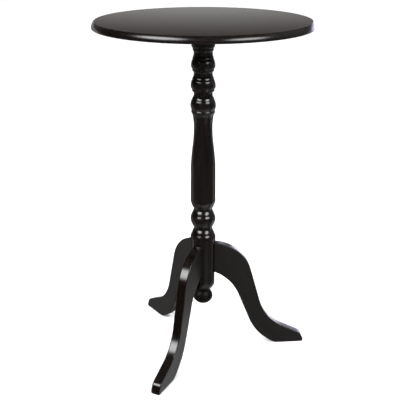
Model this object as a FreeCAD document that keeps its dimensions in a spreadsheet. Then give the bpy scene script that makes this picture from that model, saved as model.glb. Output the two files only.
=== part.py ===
import FreeCAD, Part
import math
import os
from types import SimpleNamespace

import Sketcher

# Wine table: a round top on a turned column, carried by three S-shaped legs.
# Millimetres, +Z up. The origin is on the floor under the column's axis, and one leg points along +X.

SIZES = (
    ("table_height", 660, "floor to the upper face of the top"),
    # Top
    ("top_diameter", 400, "widest line of the rim"),
    ("top_thickness", 12.5, "underside to upper face"),
    ("rim_drop", 10.5, "upper face down to the widest line of the rim"),
    ("face_inset", 4.5, "rim past the crisp edge of the upper face"),
    ("rim_band", 0.5, "straight band at the widest line, over the round to the underside"),
    # Plate and screws under the top
    ("plate_diameter", 90, "steel disc under the top"),
    ("plate_thickness", 3, ""),
    ("screw_circle", 66, "diameter on which the wood screws stand"),
    ("screw_count", 4, ""),
    ("screw_length", 12, "underside of the plate to the screw's tip"),
    ("screw_shank", 4, "diameter"),
    ("screw_head", 8, "diameter of the countersunk head"),
    ("screw_head_height", 2.2, ""),
    ("screw_slot", 1.2, "width of the cross in the head"),
    ("screw_slot_depth", 1, ""),
    # Rod, nuts and washer
    ("rod_diameter", 8, "threaded rod through column and hub"),
    ("rod_end", 1, "rod standing out of the upper nut"),
    ("nut_flats", 13, "width across the flats"),
    ("nut_height", 6.5, ""),
    ("washer_diameter", 17, ""),
    ("washer_thickness", 1.6, ""),
    ("running_clearance", 0.2, "gap round the rod, the nuts and the tenon, on the radius"),
    # Turned column, from the top down
    ("cap_radius", 21, "column's upper end"),
    ("cap_height", 2.2, ""),
    ("cap_cove", 2, "height of the hollow under the cap"),
    ("neck_radius", 17.7, "between the beads"),
    ("neck_height", 6.2, "slim neck above a bead"),
    ("neck_flare", 0.5, "the neck's lower end is wider by this much"),
    ("bead_count", 4, ""),
    ("bead_radius", 22, "first bead, at its widest"),
    ("bead_growth", 0.67, "each bead is wider than the last by this much"),
    ("reed_height", 6.8, "first swell of a bead"),
    ("reed_set", 2.6, "bead's radius less the first reed's"),
    ("reed_swell", 0.4, ""),
    ("second_reed_height", 3.8, ""),
    ("second_reed_set", 1, ""),
    ("second_reed_swell", 0.22, ""),
    ("belly_height", 11.7, "round part of a bead"),
    ("belly_set", 0.6, "bead's radius less the foot's"),
    ("groove_height", 2, "step from the bead into the groove"),
    ("groove_set", 2.6, "bead's radius less the groove's"),
    ("ring_height", 4.2, "ring under a bead"),
    ("ring_swell", 0.4, ""),
    ("cove_height", 2.7, "hollow from the ring to the next neck"),
    ("cove_depth", 0.45, ""),
    ("collar_groove_height", 4.6, "last bead's step into the groove over the collar"),
    ("collar_radius", 21.85, "collar at its edges, on the shaft"),
    ("collar_height", 5.2, ""),
    ("collar_swell", 0.8, ""),
    ("throat_height", 10, "quick hollow under the collar"),
    ("throat_radius", 19.1, ""),
    ("throat_depth", 0.7, ""),
    ("waist_height", 17, "collar's hollow down to the slimmest place"),
    ("waist_radius", 17.7, "shaft at its slimmest"),
    ("waist_depth", 0.4, ""),
    ("rise_height", 31, "hollow side of the shaft under the waist"),
    ("rise_radius", 19.5, ""),
    ("rise_depth", 0.42, ""),
    ("shoulder_height", 42, "round side of the shaft above its full part"),
    ("shoulder_swell", 0.4, ""),
    ("shaft_radius", 23.6, "upper end of the full part"),
    ("shaft_foot_radius", 24.1, "lower end of the full part"),
    ("shaft_foot_height", 14.6, "round lower end of the shaft"),
    ("shaft_foot_swell", 0.7, ""),
    ("quirk_radius", 18.1, "grooves above and below the ball"),
    ("quirk_height", 3, "groove above the ball"),
    ("under_quirk_height", 4.4, "groove below the ball"),
    ("ball_slope_height", 8.9, "upper slope of the ball and the half ball"),
    ("ball_slope_radius", 22.25, ""),
    ("ball_slope_swell", 0.4, ""),
    ("ball_step_height", 3.4, "step from the slope out to the band"),
    ("band_height", 11.3, "band round the middle of the ball"),
    ("band_radius", 23.85, "band at its edges"),
    ("band_swell", 0.5, ""),
    ("ball_under_step", 4.4, "step in under the band"),
    ("ball_under_radius", 21.9, ""),
    ("ball_under_height", 7.2, "lower slope of the ball"),
    ("ball_under_swell", 0.55, ""),
    ("base_crown_height", 6, "half ball from its step to the cylinder"),
    ("base_crown_swell", 0.2, ""),
    ("base_radius", 24.75, "plain cylinder over the hub"),
    ("base_height", 12, ""),
    ("tenon_radius", 11, "tenon in the hub's mortise"),
    ("tenon_length", 16, ""),
    ("tenon_end_gap", 0.5, "under the tenon's end"),
    # Hub
    ("hub_top", 227.5, "height of the seam between column and hub"),
    ("hub_bottom", 127, "height of the hub's lower face"),
    ("hub_radius", 24.2, ""),
    ("hub_round", 10, "width of the round at the lower edge"),
    ("hub_round_height", 20, ""),
    ("hub_round_swell", 2.6, ""),
    ("flat_land", 0.2, "flat for a leg, wider than the leg on each side"),
    ("socket_stop", 18.5, "stopped end of a leg socket, below the leg's upper edge"),
    ("socket_depth", 8.6, "from the flat inwards"),
    ("socket_mouth", 7.4, "width of a dovetail socket at the flat"),
    ("socket_root", 10.6, "width of a dovetail socket at its root"),
    ("dovetail_clearance", 0.15, "round a tail in its socket"),
    ("counterbore_depth", 12, "hollow for washer and nut"),
    # Legs
    ("leg_count", 3, ""),
    ("leg_thickness", 18, "board that the legs are sawn from"),
    ("leg_edge_round", 2.2, "eased edges"),
    ("leg_drop", 0.3, "seam over the hub down to a leg's upper edge"),
    ("leg_root", 62, "height of a leg where it meets the hub"),
    ("hollow_run", 35.1, "hub out to the corner of the lower edge under the knee"),
    ("hollow_drop", 16.3, "lower edge at the hub down to the corner under the knee"),
    ("hollow_land", 1.6, "straight lower edge between the hub and the round under the knee"),
    ("thigh_width", 22.9, "corner under the knee out to the corner of the knee"),
    ("knee_drop", 4, "upper edge at the hub down to the corner of the knee"),
    ("knee_land", 0.5, "straight upper edge between the hub and the round of the knee"),
    ("calf_run", 49.1, "corner under the knee out to the corner over the heel"),
    ("calf_height", 26.6, "corner over the heel, from the floor"),
    ("calf_round", 108, ""),
    ("ankle_width", 20.2, "corner over the heel out to the corner over the instep"),
    ("instep_height", 56.2, "corner over the instep, from the floor"),
    ("instep_round", 87, ""),
    ("heel_run", 39.9, "corner over the heel out to the back end of the sole"),
    ("heel_round", 25, ""),
    ("sole_length", 59.5, ""),
    ("tip_set", 2, "front of the toe past the end of the sole"),
    ("tip_height", 5, ""),
    ("tip_round", 4, ""),
    ("toe_set", 6, "upper corner of the toe behind its front"),
    ("toe_height", 19.5, ""),
    ("toe_round", 16, ""),
    # Knob under the hub
    ("finial_neck_radius", 13.4, ""),
    ("finial_neck_height", 2.5, ""),
    ("finial_radius", 19.3, "ball at its widest"),
    ("finial_upper_height", 14, "neck to the widest line"),
    ("finial_side_round", 11, "radius of the ball's side under the widest line"),
    ("finial_lower_height", 15, "widest line to the lowest point"),
    ("finial_flat", 3, "radius of the flat where the turning was parted off"),
    ("insert_diameter", 12, "threaded insert in the knob"),
    ("insert_length", 14, ""),
    ("insert_set", 2, "insert below the knob's upper face"),
    ("rod_in_insert", 11, "length of rod inside the insert"),
)

doc = FreeCAD.newDocument("WineTable")


class Size:
    """A number together with the sheet expression that gives it."""

    def __init__(self, value, text):
        self.value = float(value)
        self.text = text

    @staticmethod
    def of(number):
        return number if isinstance(number, Size) else Size(number, f"{number:.12g}")

    def combined(self, other, sign, value):
        return Size(value, f"({self.text} {sign} {other.text})")

    def __add__(self, other):
        other = Size.of(other)
        return self.combined(other, "+", self.value + other.value)

    def __sub__(self, other):
        other = Size.of(other)
        return self.combined(other, "-", self.value - other.value)

    def __mul__(self, other):
        other = Size.of(other)
        return self.combined(other, "*", self.value * other.value)

    def __truediv__(self, other):
        other = Size.of(other)
        return self.combined(other, "/", self.value / other.value)

    def __neg__(self):
        return Size(-self.value, f"(-1 * {self.text})")

    def root(self):
        return Size(math.sqrt(self.value), f"sqrt({self.text})")


def driving_sizes():
    """Writes the driving dimensions to the sheet and gives each back as a Size."""
    sheet = doc.addObject("Spreadsheet::Sheet", "Sizes")
    sizes = SimpleNamespace()
    for row, (alias, value, meaning) in enumerate(SIZES, start=1):
        sheet.set(f"A{row}", alias)
        sheet.set(f"B{row}", str(value))
        sheet.setAlias(f"B{row}", alias)
        sheet.set(f"C{row}", meaning)
        setattr(sizes, alias, Size(value, f"Sizes.{alias}"))
    doc.recompute()
    return sizes


size = driving_sizes()
UP = FreeCAD.Vector(0, 0, 1)
ORIGIN_POINT = (-1, 1)

# Heights and places that several pieces share
top_underside = size.table_height - size.top_thickness
column_top = top_underside - size.plate_thickness
rod_top = top_underside + size.nut_height + size.rod_end
rod_radius = size.rod_diameter / 2
bore_radius = rod_radius + size.running_clearance
leg_top = size.hub_top - size.leg_drop
leg_under = leg_top - size.leg_root
socket_top = leg_top - size.socket_stop
leg_half = size.leg_thickness / 2
flat_half = leg_half + size.flat_land
flat_distance = (size.hub_radius * size.hub_radius - flat_half * flat_half).root()
socket_floor = flat_distance - size.socket_depth
nut_corner = size.nut_flats / math.sqrt(3)
nut_room = nut_corner + size.running_clearance
counterbore_radius = size.washer_diameter / 2 + size.running_clearance
counterbore_top = size.hub_bottom + size.counterbore_depth
insert_top = size.hub_bottom - size.insert_set
insert_bottom = insert_top - size.insert_length
rod_bottom = insert_top - size.rod_in_insert
screw_reach = size.screw_circle / 2


def new_body(label):
    body = doc.addObject("PartDesign::Body", label)
    body.Label = label
    return body


def origin_feature(body, role):
    return next(feature for feature in body.Origin.OriginFeatures if feature.Role == role)


def new_sketch(body, name, role, lift=None):
    """A sketch on one of the body's origin planes, raised off it by lift."""
    sketch = body.newObject("Sketcher::SketchObject", name)
    sketch.AttachmentSupport = [(origin_feature(body, role), "")]
    sketch.MapMode = "FlatFace"
    if lift is not None:
        sketch.AttachmentOffset = FreeCAD.Placement(UP * lift.value, FreeCAD.Rotation())
        sketch.setExpression("AttachmentOffset.Base.z", lift.text)
    return sketch


def constrain(sketch, constraints, bound):
    """Adds the constraints and binds those named in bound to their sheet expressions."""
    first = sketch.ConstraintCount
    sketch.addConstraint(constraints)
    for index, length in bound:
        sketch.setExpression(f"Constraints[{first + index}]", length.text)


def fix_point(constraints, bound, point, across, up):
    """Holds a sketch point at its distances from the sketch's origin, or on the vertical axis, number -2."""
    if across is None:
        constraints.append(Sketcher.Constraint("PointOnObject", *point, -2))
    else:
        bound.append((len(constraints), across))
        constraints.append(Sketcher.Constraint("DistanceX", *ORIGIN_POINT, *point, across.value))
    bound.append((len(constraints), up))
    constraints.append(Sketcher.Constraint("DistanceY", *ORIGIN_POINT, *point, up.value))


def bowed_edge(start, end, swell):
    """The arc between two points that stands off its chord by swell, away from the turning axis."""
    chord = end - start
    outward = FreeCAD.Vector(chord.y, -chord.x, 0).normalize()
    if outward.x < 0:
        outward = -outward
    return Part.Arc(start, (start + end) / 2 + outward * swell.value, end)


def outline(sketch, stations):
    """A closed outline; each station is (across, up, swell), and swell bows the edge to the next one."""
    corners = [FreeCAD.Vector(across.value if across else 0, up.value, 0) for across, up, _ in stations]
    count = len(stations)
    edges = []
    for index, (_, _, swell) in enumerate(stations):
        start = corners[index]
        end = corners[(index + 1) % count]
        edges.append(bowed_edge(start, end, swell) if swell else Part.LineSegment(start, end))
    first = sketch.GeometryCount
    sketch.addGeometry(edges, False)

    def end_at(index, corner):
        """The end of an edge that lies at a corner."""
        edge = first + index % count
        nearest = min((1, 2), key=lambda place: (sketch.getPoint(edge, place) - corner).Length)
        return edge, nearest

    constraints = []
    bound = []
    for index, (across, up, swell) in enumerate(stations):
        arriving = end_at(index - 1, corners[index])
        leaving = end_at(index, corners[index])
        constraints.append(Sketcher.Constraint("Coincident", *arriving, *leaving))
        fix_point(constraints, bound, leaving, across, up)
        if swell:
            next_across, next_up, _ = stations[(index + 1) % count]
            run = next_across - across if next_across else -across
            rise = next_up - up
            depth = swell if swell.value > 0 else -swell
            radius = (run * run + rise * rise) / (depth * 8) + depth / 2
            bound.append((len(constraints), radius))
            constraints.append(Sketcher.Constraint("Radius", first + index, radius.value))
    constrain(sketch, constraints, bound)


def circle(sketch, across, up, radius):
    """A circle of a bound radius, on the sketch's origin or at a bound place."""
    place = FreeCAD.Vector(across.value if across else 0, up.value if up else 0, 0)
    edge = sketch.addGeometry(Part.Circle(place, UP, radius.value), False)
    constraints = [Sketcher.Constraint("Radius", edge, radius.value)]
    bound = [(0, radius)]
    if across is None:
        constraints.append(Sketcher.Constraint("Coincident", edge, 3, *ORIGIN_POINT))
    else:
        fix_point(constraints, bound, (edge, 3), across, up)
    constrain(sketch, constraints, bound)


def turned(label, stations):
    """A body turned round the Z axis from an outline."""
    body = new_body(label)
    sketch = new_sketch(body, f"{label}_outline", "XZ_Plane")
    outline(sketch, stations)
    turning = body.newObject("PartDesign::Revolution", f"{label}_turning")
    turning.Profile = sketch
    turning.ReferenceAxis = (sketch, ["V_Axis"])
    turning.Angle = 360
    doc.recompute()
    return body


def raised(body, sketch, length):
    """Pads a level sketch upwards."""
    pad = body.newObject("PartDesign::Pad", f"{sketch.Name}_pad")
    pad.Profile = sketch
    pad.setExpression("Length", length.text)
    doc.recompute()
    return pad


def sunk_upwards(body, sketch, depth):
    """Cuts a level sketch upwards into the body, and makes sure that it takes wood away."""
    volume = body.Shape.Volume
    pocket = body.newObject("PartDesign::Pocket", f"{sketch.Name}_pocket")
    pocket.Profile = sketch
    pocket.Reversed = True
    pocket.setExpression("Length", depth.text)
    doc.recompute()
    if body.Shape.Volume >= volume:
        raise RuntimeError(f"{sketch.Name} cuts nothing")
    return pocket


def repeated(body, features, count):
    """Repeats features round the Z axis."""
    pattern = body.newObject("PartDesign::PolarPattern", f"{features[-1].Name}_round")
    pattern.Originals = features
    pattern.Axis = (origin_feature(body, "Z_Axis"), [""])
    pattern.Angle = 360
    pattern.setExpression("Occurrences", count.text)
    body.Tip = pattern
    doc.recompute()
    return pattern


def upright_round(across, up):
    """Radius of the arc that goes across and up by these lengths and is upright at its outer end."""
    return (across * across + up * up) / (across * 2)


def swell_of_arc(radius, across, up):
    """How far an arc of a radius stands off its chord, which goes across and up by these lengths."""
    return radius - (radius * radius - (across * across + up * up) / 4).root()


def table_top():
    """Round top with a crisp upper edge, a bowed rim, a recess for the nut and pilot holes for the screws."""
    radius = size.top_diameter / 2
    widest = size.table_height - size.rim_drop
    face_radius = radius - size.face_inset
    rim_radius = upright_round(size.face_inset, size.rim_drop)
    rim_swell = swell_of_arc(rim_radius, size.face_inset, size.rim_drop)
    under_round = size.top_thickness - size.rim_drop - size.rim_band
    under_swell = under_round * (1 - math.sqrt(0.5))
    body = turned("table_top", [
        (None, size.table_height, None),
        (face_radius, size.table_height, rim_swell),
        (radius, widest, None),
        (radius, widest - size.rim_band, under_swell),
        (radius - under_round, top_underside, None),
        (None, top_underside, None),
    ])
    recess = new_sketch(body, "nut_recess", "XY_Plane", top_underside)
    circle(recess, None, None, nut_room + size.running_clearance)
    sunk_upwards(body, recess, size.nut_height + size.rod_end * 2)
    pilot = new_sketch(body, "screw_pilot", "XY_Plane", top_underside)
    circle(pilot, screw_reach, Size.of(0), size.screw_shank / 2)
    pilot_hole = sunk_upwards(body, pilot, size.screw_length - size.plate_thickness)
    repeated(body, [pilot_hole], size.screw_count)
    return body


def top_plate():
    """Steel disc with a hole for the rod and countersunk holes for the wood screws."""
    body = new_body("top_plate")
    disc = new_sketch(body, "plate_disc", "XY_Plane", column_top)
    circle(disc, None, None, size.plate_diameter / 2)
    circle(disc, None, None, bore_radius)
    raised(body, disc, size.plate_thickness)
    hole = new_sketch(body, "plate_screw_hole", "XY_Plane", column_top)
    circle(hole, screw_reach, Size.of(0), size.screw_shank / 2)
    screw_hole = sunk_upwards(body, hole, size.plate_thickness)
    countersink = new_sketch(body, "plate_countersink", "XZ_Plane")
    outline(countersink, [
        (screw_reach, column_top, None),
        (screw_reach + size.screw_head / 2, column_top, None),
        (screw_reach + size.screw_shank / 2, column_top + size.screw_head_height, None),
        (screw_reach, column_top + size.screw_head_height, None),
    ])
    volume = body.Shape.Volume
    groove = body.newObject("PartDesign::Groove", "plate_countersinking")
    groove.Profile = countersink
    groove.ReferenceAxis = (countersink, ["Edge4"])
    groove.Angle = 360
    doc.recompute()
    if body.Shape.Volume >= volume:
        raise RuntimeError("the countersink cuts nothing")
    repeated(body, [screw_hole, groove], size.screw_count)
    return body


def top_plate_screws():
    """Countersunk wood screws with a cross in the head, standing on the screw circle."""
    screws = []
    for index in range(int(size.screw_count.value)):
        shank = doc.addObject("Part::Cylinder", f"screw_shank_{index}")
        shank.setExpression("Radius", (size.screw_shank / 2).text)
        shank.setExpression("Height", size.screw_length.text)
        head = doc.addObject("Part::Cone", f"screw_head_{index}")
        head.setExpression("Radius1", (size.screw_head / 2).text)
        head.setExpression("Radius2", (size.screw_shank / 2).text)
        head.setExpression("Height", size.screw_head_height.text)
        blank = doc.addObject("Part::Fuse", f"screw_blank_{index}")
        blank.Base = shank
        blank.Tool = head
        slots = []
        for turn in (0, 1):
            slot = doc.addObject("Part::Box", f"screw_slot_{index}_{turn}")
            slot_length = size.screw_head * 0.6
            sides = (slot_length, size.screw_slot) if turn == 0 else (size.screw_slot, slot_length)
            slot.setExpression("Length", sides[0].text)
            slot.setExpression("Width", sides[1].text)
            slot.setExpression("Height", size.screw_slot_depth.text)
            slot.setExpression("Placement.Base.x", (-sides[0] / 2).text)
            slot.setExpression("Placement.Base.y", (-sides[1] / 2).text)
            slots.append(slot)
        cross = doc.addObject("Part::Fuse", f"screw_cross_{index}")
        cross.Base, cross.Tool = slots
        screw = doc.addObject("Part::Cut", f"screw_{index}")
        screw.Base = blank
        screw.Tool = cross
        angle = Size.of(360) / size.screw_count * index
        screw.setExpression("Placement.Base.x", f"{screw_reach.text} * cos({angle.text} * 1deg)")
        screw.setExpression("Placement.Base.y", f"{screw_reach.text} * sin({angle.text} * 1deg)")
        screw.setExpression("Placement.Base.z", column_top.text)
        screws.append(screw)
    group = doc.addObject("Part::Compound", "top_plate_screws")
    group.Links = screws
    doc.recompute()
    return group


def hexagon_nut(label, bottom):
    body = new_body(label)
    sketch = new_sketch(body, f"{label}_outline", "XY_Plane", bottom)
    corners = [math.radians(60 * corner) for corner in range(6)]
    outline(sketch, [(nut_corner * math.cos(a), nut_corner * math.sin(a), None) for a in corners])
    circle(sketch, None, None, bore_radius)
    raised(body, sketch, size.nut_height)
    return body


def ring(label, bottom, height, outer, inner):
    """A plain ring, such as a washer, or a sleeve."""
    return turned(label, [
        (inner, bottom, None),
        (outer, bottom, None),
        (outer, bottom + height, None),
        (inner, bottom + height, None),
    ])


def tie_rod():
    body = new_body("tie_rod")
    sketch = new_sketch(body, "rod_section", "XY_Plane", rod_bottom)
    circle(sketch, None, None, rod_radius)
    raised(body, sketch, rod_top - rod_bottom)
    return body


class Turning:
    """Stations of a turned outline, taken from the upper end down."""

    def __init__(self, radius, height):
        self.height = height
        self.stations = [(radius, height, None)]

    def down(self, drop, radius, swell=None):
        """Goes down by drop to a radius; swell bows the way there outwards, or inwards if negative."""
        last_radius, last_height, _ = self.stations[-1]
        self.stations[-1] = (last_radius, last_height, swell)
        self.height = self.height - drop if drop else self.height
        self.stations.append((radius, self.height, None))


def column():
    """Baluster: graded vase beads, a swelling shaft, a banded ball, and a half ball on a plain cylinder."""
    work = Turning(bore_radius, column_top)
    work.down(None, size.cap_radius)
    work.down(size.cap_height, size.cap_radius)
    work.down(size.cap_cove, size.neck_radius, -size.cove_depth)
    bead_count = int(size.bead_count.value)
    for bead in range(bead_count):
        widest = size.bead_radius + size.bead_growth * bead
        belly_swell = (size.second_reed_set + size.belly_set) / 2
        work.down(size.neck_height, size.neck_radius + size.neck_flare)
        work.down(size.reed_height, widest - size.reed_set, size.reed_swell)
        work.down(size.second_reed_height, widest - size.second_reed_set, size.second_reed_swell)
        work.down(size.belly_height, widest - size.belly_set, belly_swell)
        if bead < bead_count - 1:
            work.down(size.groove_height, widest - size.groove_set)
            work.down(size.ring_height, widest - size.groove_set, size.ring_swell)
            work.down(size.cove_height, size.neck_radius, -size.cove_depth)
    work.down(size.collar_groove_height, size.collar_radius)
    work.down(size.collar_height, size.collar_radius, size.collar_swell)
    work.down(size.throat_height, size.throat_radius, -size.throat_depth)
    work.down(size.waist_height, size.waist_radius, -size.waist_depth)
    work.down(size.rise_height, size.rise_radius, -size.rise_depth)
    work.down(size.shoulder_height, size.shaft_radius, size.shoulder_swell)

    crown_top = size.hub_top + size.base_height + size.base_crown_height
    half_ball_top = crown_top + size.ball_step_height + size.ball_slope_height
    ball_bottom = half_ball_top + size.under_quirk_height
    band_bottom = ball_bottom + size.ball_under_height + size.ball_under_step
    ball_top = band_bottom + size.band_height + size.ball_step_height + size.ball_slope_height
    shaft_foot = ball_top + size.quirk_height + size.shaft_foot_height
    work.down(work.height - shaft_foot, size.shaft_foot_radius)
    work.down(size.shaft_foot_height, size.quirk_radius, size.shaft_foot_swell)
    work.down(size.quirk_height, size.quirk_radius)
    work.down(size.ball_slope_height, size.ball_slope_radius, size.ball_slope_swell)
    work.down(size.ball_step_height, size.band_radius)
    work.down(size.band_height, size.band_radius, size.band_swell)
    work.down(size.ball_under_step, size.ball_under_radius)
    work.down(size.ball_under_height, size.quirk_radius, size.ball_under_swell)
    work.down(size.under_quirk_height, size.quirk_radius)
    work.down(size.ball_slope_height, size.ball_slope_radius, size.ball_slope_swell)
    work.down(size.ball_step_height, size.band_radius)
    work.down(size.base_crown_height, size.base_radius, size.base_crown_swell)
    work.down(size.base_height, size.base_radius)
    work.down(None, size.tenon_radius)
    work.down(size.tenon_length, size.tenon_radius)
    work.down(None, bore_radius)
    return turned("column", work.stations)


def hub():
    """Leg block: mortise above, counterbore below, and a flat with a stopped dovetail socket for each leg."""
    mortise_radius = size.tenon_radius + size.running_clearance
    mortise_floor = size.hub_top - size.tenon_length - size.tenon_end_gap
    body = turned("hub", [
        (mortise_radius, size.hub_top, None),
        (size.hub_radius, size.hub_top, None),
        (size.hub_radius, size.hub_bottom + size.hub_round_height, size.hub_round_swell),
        (size.hub_radius - size.hub_round, size.hub_bottom, None),
        (counterbore_radius, size.hub_bottom, None),
        (counterbore_radius, counterbore_top, None),
        (bore_radius, counterbore_top, None),
        (bore_radius, mortise_floor, None),
        (mortise_radius, mortise_floor, None),
    ])
    past_hub = size.hub_radius + size.flat_land
    flat = new_sketch(body, "leg_flat", "XY_Plane", size.hub_bottom)
    outline(flat, [
        (flat_distance, -leg_half * 2, None),
        (past_hub, -leg_half * 2, None),
        (past_hub, leg_half * 2, None),
        (flat_distance, leg_half * 2, None),
    ])
    flat_cut = sunk_upwards(body, flat, size.hub_top - size.hub_bottom)
    socket = new_sketch(body, "leg_socket", "XY_Plane", size.hub_bottom)
    mouth = size.socket_mouth / 2
    root = size.socket_root / 2
    outline(socket, [
        (socket_floor, -root, None),
        (flat_distance, -mouth, None),
        (past_hub, -mouth, None),
        (past_hub, mouth, None),
        (flat_distance, mouth, None),
        (socket_floor, root, None),
    ])
    socket_cut = sunk_upwards(body, socket, socket_top - size.hub_bottom)
    repeated(body, [flat_cut, socket_cut], size.leg_count)
    return body


def edge_names(shape, wanted):
    return [f"Edge{number}" for number, edge in enumerate(shape.Edges, start=1) if wanted(edge)]


def eased(body, name, edges, radius):
    """Rounds the named edges of the body's last feature."""
    base = body.Tip
    fillet = body.newObject("PartDesign::Fillet", name)
    fillet.Base = (base, edges)
    fillet.setExpression("Radius", radius.text)
    doc.recompute()


def round_from(start, corner, after, land):
    """Radius of the round at a corner of a falling edge, if it begins at the distance land from the start."""
    run_in = corner[0] - start[0]
    rise_in = corner[1] - start[1]
    run_out = after[0] - corner[0]
    rise_out = after[1] - corner[1]
    length_in = (run_in * run_in + rise_in * rise_in).root()
    length_out = (run_out * run_out + rise_out * rise_out).root()
    along = run_in * run_out + rise_in * rise_out
    across = rise_in * run_out - run_in * rise_out
    return (length_in - land) * (length_in * length_out + along) / across


def leg(label, number):
    """S-shaped board with eased edges, and a dovetail tail on its inner end."""
    body = new_body(label)
    root_under = (flat_distance, leg_under)
    hollow = (flat_distance + size.hollow_run, leg_under - size.hollow_drop)
    calf = (hollow[0] + size.calf_run, size.calf_height)
    heel_reach = calf[0] + size.heel_run
    sole_reach = heel_reach + size.sole_length
    tip_reach = sole_reach + size.tip_set
    instep = (calf[0] + size.ankle_width, size.instep_height)
    knee = (hollow[0] + size.thigh_width, leg_top - size.knee_drop)
    root_top = (flat_distance, leg_top)
    corners = [
        (*root_top, None),
        (*knee, round_from(root_top, knee, instep, size.knee_land)),
        (*instep, size.instep_round),
        (tip_reach - size.toe_set, size.toe_height, size.toe_round),
        (tip_reach, size.tip_height, size.tip_round),
        (sole_reach, Size.of(0), None),
        (heel_reach, Size.of(0), size.heel_round),
        (*calf, size.calf_round),
        (*hollow, round_from(root_under, hollow, calf, size.hollow_land)),
        (*root_under, None),
    ]
    board = new_sketch(body, f"{label}_board", "XZ_Plane")
    outline(board, [(across, up, None) for across, up, _ in corners])
    pad = body.newObject("PartDesign::Pad", f"{label}_pad")
    pad.Profile = board
    pad.Midplane = True
    pad.setExpression("Length", size.leg_thickness.text)
    doc.recompute()
    tolerance = 1e-4

    def crosses_board_at(edge, across, up):
        ends = [vertex.Point for vertex in edge.Vertexes]
        return all(abs(end.x - across.value) + abs(end.z - up.value) < tolerance for end in ends)

    for corner, (across, up, rounding) in enumerate(corners):
        if rounding:
            names = edge_names(body.Shape, lambda edge: crosses_board_at(edge, across, up))
            eased(body, f"{label}_corner_{corner}", names, rounding)

    def on_outline(edge):
        middle = edge.CenterOfMass
        on_face = abs(abs(middle.y) - leg_half.value) < tolerance
        return on_face and middle.x > flat_distance.value + tolerance

    eased(body, f"{label}_edges", edge_names(body.Shape, on_outline), size.leg_edge_round)

    clearance = size.dovetail_clearance
    tail = new_sketch(body, f"{label}_tail", "XY_Plane", leg_under)
    mouth = size.socket_mouth / 2 - clearance
    root = size.socket_root / 2 - clearance
    tail_end = socket_floor + clearance
    inside = flat_distance + leg_half / 4
    outline(tail, [
        (tail_end, -root, None),
        (flat_distance, -mouth, None),
        (inside, -mouth, None),
        (inside, mouth, None),
        (flat_distance, mouth, None),
        (tail_end, root, None),
    ])
    raised(body, tail, socket_top - clearance - leg_under)
    angle = Size.of(360) / size.leg_count * number
    body.Placement = FreeCAD.Placement(FreeCAD.Vector(), FreeCAD.Rotation(UP, angle.value))
    body.setExpression("Placement.Rotation.Angle", angle.text)
    doc.recompute()
    return body


def finial():
    """Ball knob with a short neck, bored for the threaded insert.
    Below its widest line the ball is a side round that runs on smoothly into a flatter lower round."""
    hole_radius = size.insert_diameter / 2 + size.running_clearance
    neck_bottom = size.hub_bottom - size.finial_neck_height
    widest = neck_bottom - size.finial_upper_height
    upper_width = size.finial_radius - size.finial_neck_radius
    upper_round = upright_round(upper_width, size.finial_upper_height)
    upper_swell = swell_of_arc(upper_round, upper_width, size.finial_upper_height)

    side_round = size.finial_side_round
    side_centre = size.finial_radius - side_round
    below_side = size.finial_lower_height - side_round
    lower_centre = (side_centre * side_centre - below_side * below_side) / (below_side * 2)
    lower_round = size.finial_lower_height + lower_centre
    between_centres = lower_round - side_round
    joint_radius = side_centre + side_round * side_centre / between_centres
    joint_drop = side_round * lower_centre / between_centres
    flat_drop = (lower_round * lower_round - size.finial_flat * size.finial_flat).root() - lower_centre
    side_swell = swell_of_arc(side_round, size.finial_radius - joint_radius, joint_drop)
    lower_swell = swell_of_arc(lower_round, joint_radius - size.finial_flat, flat_drop - joint_drop)
    return turned("finial", [
        (hole_radius, size.hub_bottom, None),
        (size.finial_neck_radius, size.hub_bottom, None),
        (size.finial_neck_radius, neck_bottom, upper_swell),
        (size.finial_radius, widest, side_swell),
        (joint_radius, widest - joint_drop, lower_swell),
        (size.finial_flat, widest - flat_drop, None),
        (None, widest - flat_drop, None),
        (None, insert_bottom, None),
        (hole_radius, insert_bottom, None),
    ])


pieces = [
    table_top(),
    top_plate(),
    top_plate_screws(),
    hexagon_nut("plate_nut", top_underside),
    tie_rod(),
    column(),
    hub(),
    leg("leg_right", 0),
    leg("leg_rear", 1),
    leg("leg_front", 2),
    ring("clamp_washer", counterbore_top - size.washer_thickness, size.washer_thickness,
         size.washer_diameter / 2, bore_radius),
    hexagon_nut("clamp_nut", counterbore_top - size.washer_thickness - size.nut_height),
    finial(),
    ring("finial_insert", insert_bottom, size.insert_length, size.insert_diameter / 2, bore_radius),
]

failed = [item.Name for item in doc.Objects if {"Invalid", "Error"} & set(item.State)]
if failed:
    raise RuntimeError(f"features failed: {failed}")
for piece in pieces:
    if piece.Shape.isNull() or not piece.Shape.isValid():
        raise RuntimeError(f"{piece.Label} has no valid shape")

os.makedirs("parts", exist_ok=True)
for piece in pieces:
    piece.Shape.exportStep(os.path.join("parts", f"{piece.Label}.step"))
    print(piece.Label, len(piece.Shape.Solids), round(piece.Shape.Volume / 1000, 2), "cm3")
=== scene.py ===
import bpy
import math
import numpy as np
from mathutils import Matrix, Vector


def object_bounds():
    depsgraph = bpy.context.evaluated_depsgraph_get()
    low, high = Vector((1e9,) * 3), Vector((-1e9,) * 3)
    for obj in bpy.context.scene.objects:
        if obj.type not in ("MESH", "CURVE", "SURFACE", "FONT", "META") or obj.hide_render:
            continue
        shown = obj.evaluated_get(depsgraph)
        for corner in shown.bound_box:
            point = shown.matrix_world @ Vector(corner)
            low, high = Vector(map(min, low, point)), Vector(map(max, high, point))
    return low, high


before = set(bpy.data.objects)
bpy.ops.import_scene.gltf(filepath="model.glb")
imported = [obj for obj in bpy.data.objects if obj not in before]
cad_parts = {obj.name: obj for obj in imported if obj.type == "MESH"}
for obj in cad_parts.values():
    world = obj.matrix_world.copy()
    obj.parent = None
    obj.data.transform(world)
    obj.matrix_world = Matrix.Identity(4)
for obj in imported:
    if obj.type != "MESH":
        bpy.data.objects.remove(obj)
cad_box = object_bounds()

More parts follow.
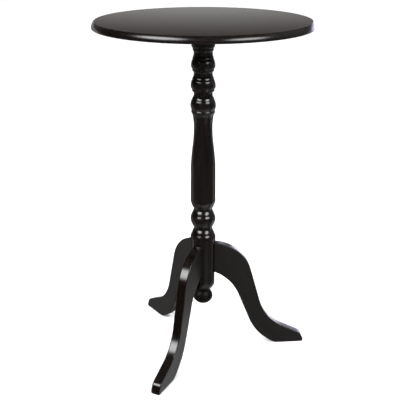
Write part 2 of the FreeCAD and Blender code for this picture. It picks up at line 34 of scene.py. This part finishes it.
# Table top: a round board with a crisp upper edge and a bowed rim, stained espresso
# and lacquered, with the flat face polished finer than the rim. A steel plate under
# it holds it on the column.

TOP_GRAIN_TURN = math.radians(8)
RIM_GLOSS = (0.19, 0.23)
FACE_POLISH = 0.35
POLISH_BEGINS = 0.001
POLISH_FULL = 0.0002


def add_node(tree, kind, values=(), links=()):
    """Adds a shader node, sets its constant sockets by name, and links other sockets to outputs of
    earlier nodes."""
    node = tree.nodes.new(kind)
    for socket, value in dict(values).items():
        node.inputs[socket].default_value = value
    for socket, (source, output) in dict(links).items():
        tree.links.new(source.outputs[output], node.inputs[socket])
    return node


def new_finish(name):
    """Starts a node material and gives back the material, its tree and its principled shader."""
    material = bpy.data.materials.new(name)
    material.use_nodes = True
    return material, material.node_tree, material.node_tree.nodes["Principled BSDF"]


def stretched_noise(tree, length, width, lean, turn, detail):
    """Noise drawn out along the grain: object coordinates are turned into the grain's direction, then
    divided by the length of a streak along it and by its width across it."""
    place = add_node(tree, "ShaderNodeTexCoord")
    along_grain = add_node(
        tree,
        "ShaderNodeMapping",
        {"Rotation": (0, lean, turn), "Scale": (length, width, width)},
        {"Vector": (place, "Object")},
    )
    along_grain.vector_type = "TEXTURE"
    return add_node(
        tree,
        "ShaderNodeTexNoise",
        {"Scale": 1.0, "Detail": detail, "Roughness": 0.55},
        {"Vector": (along_grain, "Vector")},
    )


def colour_steps(tree, source, stops, output="Fac"):
    """A colour ramp over a node's output; each stop is (place on the ramp, colour), in rising order."""
    ramp = add_node(tree, "ShaderNodeValToRGB", links={"Fac": (source, output)})
    elements = ramp.color_ramp.elements
    while len(elements) < len(stops):
        elements.new(1.0)
    for element, (place, colour) in zip(elements, stops):
        element.position = place
        element.color = (*colour, 1)
    return ramp


def rescaled(tree, source, low, high):
    """Maps the middle of the noise's range to a range of values."""
    return add_node(
        tree,
        "ShaderNodeMapRange",
        {"From Min": 0.3, "From Max": 0.7, "To Min": low, "To Max": high},
        {"Value": (source, "Fac")},
    )


def lay_coat(tree, shader, tint, gloss, pattern, strength, depth):
    """Links a tint and a gloss to the shader, and a relief made from a pattern's height."""
    relief = add_node(
        tree,
        "ShaderNodeBump",
        {"Strength": strength, "Distance": depth},
        {"Height": (pattern, "Fac")},
    )
    tree.links.new(tint.outputs["Color"], shader.inputs["Base Color"])
    tree.links.new(gloss.outputs["Result"], shader.inputs["Roughness"])
    tree.links.new(relief.outputs["Normal"], shader.inputs["Normal"])


def espresso_lacquer(name, lean, turn, gloss=(0.13, 0.16)):
    """Near-black brown stain with faint streaks and closed pores under lacquer, whose roughness varies
    within the range given as gloss. The grain runs along X, leaned down by one angle and then turned
    about Z by the other."""
    dark_stain = (0.0011, 0.0007, 0.0005)
    light_stain = (0.0042, 0.0026, 0.0019)
    material, tree, shader = new_finish(name)
    streaks = stretched_noise(tree, length=0.14, width=0.0045, lean=lean, turn=turn, detail=5.0)
    pores = stretched_noise(tree, length=0.011, width=0.0006, lean=lean, turn=turn, detail=2.0)
    stain = colour_steps(tree, streaks, [(0.34, dark_stain), (0.68, light_stain)])
    sheen = rescaled(tree, streaks, *gloss)
    lay_coat(tree, shader, stain, sheen, pores, strength=0.05, depth=0.0001)
    return material


def reworked_gloss(material, across, near, far, factor):
    """Multiplies the roughness by a factor on faces that lie away from a plane through the origin. The
    plane's normal is given, and the distances from it where the change begins and is complete."""
    tree = material.node_tree
    shader = tree.nodes["Principled BSDF"]
    sheen = shader.inputs["Roughness"].links[0].from_node
    place = add_node(tree, "ShaderNodeTexCoord")
    along = add_node(tree, "ShaderNodeVectorMath", {1: across}, {0: (place, "Object")})
    along.operation = "DOT_PRODUCT"
    distance = add_node(tree, "ShaderNodeMath", links={0: (along, "Value")})
    distance.operation = "ABSOLUTE"
    share = add_node(
        tree,
        "ShaderNodeMapRange",
        {"From Min": near, "From Max": far, "To Min": 1.0, "To Max": factor},
        {"Value": (distance, "Value")},
    )
    reworked = add_node(tree, "ShaderNodeMath", links={0: (sheen, "Result"), 1: (share, "Result")})
    reworked.operation = "MULTIPLY"
    tree.links.new(reworked.outputs["Value"], shader.inputs["Roughness"])


def finish_node(node, material):
    """Gives a CAD node its finish."""
    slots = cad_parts[node].data.materials
    slots.clear()
    slots.append(material)


top_height = cad_box[1][2]
top_lacquer = espresso_lacquer("top_lacquer", lean=0, turn=TOP_GRAIN_TURN, gloss=RIM_GLOSS)
reworked_gloss(
    top_lacquer,
    across=(0, 0, 1),
    near=top_height - POLISH_BEGINS,
    far=top_height - POLISH_FULL,
    factor=FACE_POLISH,
)
finish_node("table_top", top_lacquer)

# Top plate: a steel disc screwed to the underside of the top and clamped
# to the column's end by the rod's nut. It has a fine black powder coat.


def powder_coat(name):
    """Black coat with a fine orange-peel relief and slightly uneven gloss."""
    dark_coat = (0.010, 0.010, 0.011)
    light_coat = (0.018, 0.018, 0.019)
    material, tree, shader = new_finish(name)
    peel = stretched_noise(tree, length=0.0012, width=0.0012, lean=0, turn=0, detail=2.0)
    tint = colour_steps(tree, peel, [(0.3, dark_coat), (0.7, light_coat)])
    gloss = rescaled(tree, peel, low=0.42, high=0.52)
    lay_coat(tree, shader, tint, gloss, peel, strength=0.35, depth=0.00015)
    return material


finish_node("top_plate", powder_coat("plate_coat"))

# Screws, rod, nuts and washer: plain steel hardware with a bright zinc
# coat, which holds plate, column, hub and knob together.

UPRIGHT = math.radians(90)


def zinc_plate(name):
    """Bright zinc on steel: metal with a cloudy tint and roughness."""
    dull_zinc = (0.52, 0.53, 0.55)
    bright_zinc = (0.66, 0.66, 0.65)
    material, tree, shader = new_finish(name)
    clouds = stretched_noise(tree, length=0.004, width=0.0015, lean=UPRIGHT, turn=0, detail=3.0)
    tint = colour_steps(tree, clouds, [(0.3, dull_zinc), (0.7, bright_zinc)])
    gloss = rescaled(tree, clouds, low=0.28, high=0.42)
    lay_coat(tree, shader, tint, gloss, clouds, strength=0.1, depth=0.0001)
    shader.inputs["Metallic"].default_value = 1.0
    return material


zinc = zinc_plate("hardware_zinc")
for fastener in ("top_plate_screws", "plate_nut", "tie_rod", "clamp_washer", "clamp_nut"):
    finish_node(fastener, zinc)

# Column: a baluster turned from one post, with graded beads, a swelling
# shaft and a banded ball. Its tenon stands in the hub, and the rod runs through it.

finish_node("column", espresso_lacquer("column_lacquer", lean=UPRIGHT, turn=0))

# Hub: a turned block with a flat and a stopped dovetail socket for each leg.
# The column stands on it, and the rod's nut pulls the two together.

finish_node("hub", espresso_lacquer("hub_lacquer", lean=UPRIGHT, turn=0))

# Legs: S-shaped boards sawn from flat stock with eased edges, each slid into the hub
# on a dovetail. The grain runs along the board, from hub to foot, and the lacquer is
# duller on the flat sides than on the edges.

LEG_NODES = ("leg_right", "leg_rear", "leg_front")
BOARD_LEAN = math.radians(50)
SIDE_DULLNESS = 3.0
DULLNESS_BEGINS = 0.0008
DULLNESS_FULL = 0.0001
board_half = max(corner[1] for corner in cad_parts["leg_right"].bound_box)

for number, leg_node in enumerate(LEG_NODES):
    board_turn = math.tau / len(LEG_NODES) * number
    leg_lacquer = espresso_lacquer(f"{leg_node}_lacquer", lean=BOARD_LEAN, turn=board_turn)
    reworked_gloss(
        leg_lacquer,
        across=(-math.sin(board_turn), math.cos(board_turn), 0),
        near=board_half - DULLNESS_BEGINS,
        far=board_half - DULLNESS_FULL,
        factor=SIDE_DULLNESS,
    )
    finish_node(leg_node, leg_lacquer)

# Knob: a turned ball on a short neck under the hub, with a dull coat of lacquer.
# Its reflections are dimmed by a low specular level, as painted shade for the shade
# it sits in under the hub. A threaded brass insert in it screws onto the rod's lower
# end, so that the knob hides the nut.

KNOB_GLOSS = (0.42, 0.48)
KNOB_SHADE_SPECULAR = 0.15


def turned_brass(name):
    """Brass with fine turning marks around the axis, slightly uneven in tint and gloss."""
    dark_brass = (0.56, 0.39, 0.16)
    light_brass = (0.70, 0.52, 0.24)
    material, tree, shader = new_finish(name)
    marks = stretched_noise(tree, length=0.0003, width=0.02, lean=UPRIGHT, turn=0, detail=2.0)
    tint = colour_steps(tree, marks, [(0.3, dark_brass), (0.7, light_brass)])
    gloss = rescaled(tree, marks, low=0.25, high=0.4)
    lay_coat(tree, shader, tint, gloss, marks, strength=0.1, depth=0.0001)
    shader.inputs["Metallic"].default_value = 1.0
    return material


knob_lacquer = espresso_lacquer("knob_lacquer", lean=UPRIGHT, turn=0, gloss=KNOB_GLOSS)
knob_shader = knob_lacquer.node_tree.nodes["Principled BSDF"]
# Painted shade: the low specular level dims the knob's reflections to stand in for the shade under the
# hub.
knob_shader.inputs["Specular IOR Level"].default_value = KNOB_SHADE_SPECULAR
finish_node("finial", knob_lacquer)
finish_node("finial_insert", turned_brass("insert_brass"))

# Floor: a plain pale sweep that the feet stand on, flat under the table and bent up
# into a wall far around it. It is kept out of the lacquer's reflections.

FLAT_RADIUS = 12.0
FLAT_BORDER = 1.0
BEND_RADIUS = 3.0
BEND_POINTS = 10
WALL_HEIGHT = 9.0
STEPS_AROUND = 96
FLOOR_WHITE = (0.9, 0.9, 0.9, 1)
FLOOR_ROUGHNESS = 0.8


def floor_sweep():
    """A profile carried around the axis: a flat border, a quarter circle from the flat's edge up to the
    wall, and the wall's top. Each point of the profile becomes a ring at its radius and height, rings
    are joined to the next by quads that face inwards, and the first ring is filled."""
    bend = np.linspace(0, math.pi / 2, BEND_POINTS)
    bend_radii = FLAT_RADIUS + BEND_RADIUS * np.sin(bend)
    bend_heights = BEND_RADIUS * (1 - np.cos(bend))
    radii = np.concatenate([[FLAT_RADIUS - FLAT_BORDER], bend_radii, [FLAT_RADIUS + BEND_RADIUS]])
    heights = np.concatenate([[0], bend_heights, [WALL_HEIGHT]])
    around = np.linspace(0, math.tau, STEPS_AROUND, endpoint=False)
    across = np.outer(radii, np.cos(around))
    along = np.outer(radii, np.sin(around))
    up = np.outer(heights, np.ones(STEPS_AROUND))
    points = np.stack([across, along, up], axis=-1).reshape(-1, 3)
    here = np.arange(len(points)).reshape(len(radii), STEPS_AROUND)
    beside = np.roll(here, -1, axis=1)
    quads = np.stack([here[:-1], here[1:], beside[1:], beside[:-1]], axis=-1).reshape(-1, 4)
    return points.tolist(), [here[0].tolist(), *quads.tolist()]


floor_points, floor_faces = floor_sweep()
floor_mesh = bpy.data.meshes.new("floor")
floor_mesh.from_pydata(floor_points, [], floor_faces)
floor_mesh.shade_smooth()
floor_paint, _, floor_shader = new_finish("floor_paint")
floor_shader.inputs["Base Color"].default_value = FLOOR_WHITE
floor_shader.inputs["Roughness"].default_value = FLOOR_ROUGHNESS
floor_mesh.materials.append(floor_paint)
floor = bpy.data.objects.new("floor", floor_mesh)
floor.visible_glossy = False
bpy.context.scene.collection.objects.link(floor)

# Camera: at the photograph's place, looking slightly down at the table.
# Its angles are in radians, and its focal length is given in the photograph's pixels.

CAMERA_DISTANCE = 1.444
CAMERA_HEIGHT = 0.8468
CAMERA_BEARING = 0.0823
CAMERA_TURN = 0.0781
CAMERA_PITCH = 0.3522
FOCAL_PIXELS = 793.7
PICTURE_PIXELS = 400
SENSOR_WIDTH = 36

camera_data = bpy.data.cameras.new("camera")
camera_data.sensor_width = SENSOR_WIDTH
camera_data.lens = SENSOR_WIDTH * FOCAL_PIXELS / PICTURE_PIXELS
camera = bpy.data.objects.new("camera", camera_data)
camera.location = (
    -CAMERA_DISTANCE * math.sin(CAMERA_BEARING),
    -CAMERA_DISTANCE * math.cos(CAMERA_BEARING),
    CAMERA_HEIGHT,
)
camera.rotation_euler = (math.pi / 2 - CAMERA_PITCH, 0, -CAMERA_TURN)
bpy.context.scene.collection.objects.link(camera)
bpy.context.scene.camera = camera
bpy.context.scene.view_settings.view_transform = "Standard"

# Studio light: a large soft box on each side of the camera and a faint cool one behind
# the table, for its rear edges. A wide one overhead lights the floor, and is kept out
# of the lacquer's reflections.

COOL_WHITE = (0.88, 0.87, 1.0)
LIGHT_MIDDLE = (0.5, 0.5, 0)
GLOW_FULL = 0.2
GLOW_END = 0.5


def toward(bearing, elevation):
    """Unit vector on a bearing from the camera's side, counted to the right, and at an elevation. Both
    are in degrees."""
    angle = math.radians(bearing - 90) - CAMERA_BEARING
    level = math.cos(math.radians(elevation))
    return Vector((level * math.cos(angle), level * math.sin(angle), math.sin(math.radians(elevation))))


def softbox(name, bearing, distance, height, aim, width, tall, radiance, colour=(1, 1, 1)):
    """An oval area light on a bearing from the camera's side, turned to a point on the column's axis or,
    without one, straight down. Its power is pi times its area times its radiance, and its glow fades
    smoothly from near the middle to the edge."""
    light = bpy.data.lights.new(name, "AREA")
    light.shape = "ELLIPSE"
    light.size = width
    light.size_y = tall
    light.energy = math.pi * (math.pi / 4 * width * tall) * radiance
    light.color = colour
    light.use_nodes = True
    lamp_tree = light.node_tree
    spot = add_node(lamp_tree, "ShaderNodeNewGeometry")
    off_middle = add_node(lamp_tree, "ShaderNodeVectorMath", {1: LIGHT_MIDDLE}, {0: (spot, "Parametric")})
    off_middle.operation = "DISTANCE"
    fading = add_node(
        lamp_tree,
        "ShaderNodeMapRange",
        {"From Min": GLOW_END, "From Max": GLOW_FULL, "To Min": 0, "To Max": 1},
        {"Value": (off_middle, "Value")},
    )
    fading.interpolation_type = "SMOOTHSTEP"
    lamp_tree.links.new(fading.outputs["Result"], lamp_tree.nodes["Emission"].inputs["Strength"])
    box = bpy.data.objects.new(name, light)
    box.location = toward(bearing, 0) * distance + Vector((0, 0, height))
    if aim is not None:
        box.rotation_euler = (Vector((0, 0, aim)) - box.location).to_track_quat("-Z", "Y").to_euler()
    bpy.context.scene.collection.objects.link(box)
    return box


softbox("left_box", bearing=-46, distance=2.4, height=2.15, aim=0.4, width=3.2, tall=1.9, radiance=12.5)
softbox("right_box", bearing=45, distance=2.66, height=1.8, aim=0.4, width=2.7, tall=1.45, radiance=11)
softbox(
    "rim_box",
    bearing=160,
    distance=6.0,
    height=2.5,
    aim=0.3,
    width=3.2,
    tall=1.9,
    radiance=2.2,
    colour=COOL_WHITE,
)
floor_light = softbox(
    "floor_light",
    bearing=0,
    distance=0,
    height=7.0,
    aim=None,
    width=26.0,
    tall=26.0,
    radiance=2.0,
)
floor_light.visible_glossy = False

# Room: the dim surroundings that the lacquer mirrors between the lights. A light band
# low behind the table gives the top its gradient from back to front, and lighter and
# darker patches show in the rim, the column and the legs.

ROOM_GREY = (0.13, 0.13, 0.13)
ROOM_DARK = (0.05, 0.05, 0.05)
ROOM_BROWN = (0.05, 0.04, 0.035)
BAND_WHITE = (0.92, 0.91, 0.89)
# Each stop: cosine of the angle from the band's axis, and colour.
BAND_STOPS = (
    (0.30, ROOM_GREY),
    (0.35, ROOM_BROWN),
    (0.368, ROOM_BROWN),
    (0.43, BAND_WHITE),
    (0.46, BAND_WHITE),
    (0.52, ROOM_GREY),
    (0.62, ROOM_DARK),
)
# Each patch: bearing, elevation, angles where it begins to fade and ends, and the light that it adds.
ROOM_PATCHES = (
    (170, -14, 12, 19, (0.9, 0.9, 0.9)),  # low at the back, for the upper edges of the legs
    (154, -2, 8, 15, (2.0, 1.9, 2.4)),  # cool, at the back, for the right leg's upper edge
    (121, -41, 15, 24, (1.0, 1.0, 1.0)),  # below, back right, for the side of the front leg
    (-122, -42, 14, 24, (0.3, 0.3, 0.3)),  # below, back left, for the side of the rear leg
    (35, -48, 18, 30, (0.3, 0.3, 0.3)),  # below, front right, for the hub and the right leg's side
    (0, -90, 30, 50, (0.15, 0.15, 0.15)),  # straight below, for the undersides of the turnings
    (98, 26, 12, 36, (0.21, 0.21, 0.21)),  # right, for the rim's right half
    (-100, 20, 17, 42, (-0.1, -0.1, -0.1)),  # left and darker, for the rim's left half
    (-52, 12, 8, 24, (-0.12, -0.12, -0.12)),  # front left and darker, for the front leg's narrow face
)

room = bpy.data.worlds.new("room")
room.use_nodes = True
room_tree = room.node_tree
direction = add_node(room_tree, "ShaderNodeTexCoord")


def cosine_to(bearing, elevation):
    """Cosine of the angle between the direction looked in and a bearing and elevation."""
    aim = toward(bearing, elevation)
    cosine = add_node(room_tree, "ShaderNodeVectorMath", {1: aim}, {0: (direction, "Generated")})
    cosine.operation = "DOT_PRODUCT"
    return cosine


def room_patch(bearing, elevation, inner, outer):
    """Share of a round patch of the room: one within the inner angle from its middle, none past the
    outer one, and a smooth step of the cosine between them."""
    patch = add_node(
        room_tree,
        "ShaderNodeMapRange",
        {
            "From Min": math.cos(math.radians(outer)),
            "From Max": math.cos(math.radians(inner)),
            "To Min": 0,
            "To Max": 1,
        },
        {"Value": (cosine_to(bearing, elevation), "Value")},
    )
    patch.interpolation_type = "SMOOTHSTEP"
    return patch


band = colour_steps(room_tree, cosine_to(bearing=180, elevation=-60), BAND_STOPS, output="Value")
brightness = band.outputs["Color"]
for bearing, elevation, inner, outer, added_light in ROOM_PATCHES:
    patch = room_patch(bearing, elevation, inner, outer)
    total = add_node(room_tree, "ShaderNodeVectorMath", {1: added_light}, {0: (patch, "Result")})
    total.operation = "MULTIPLY_ADD"
    room_tree.links.new(brightness, total.inputs[2])
    brightness = total.outputs["Vector"]
backdrop = room_tree.nodes["Background"]
backdrop.inputs["Strength"].default_value = 1.0
room_tree.links.new(brightness, backdrop.inputs["Color"])
bpy.context.scene.world = room
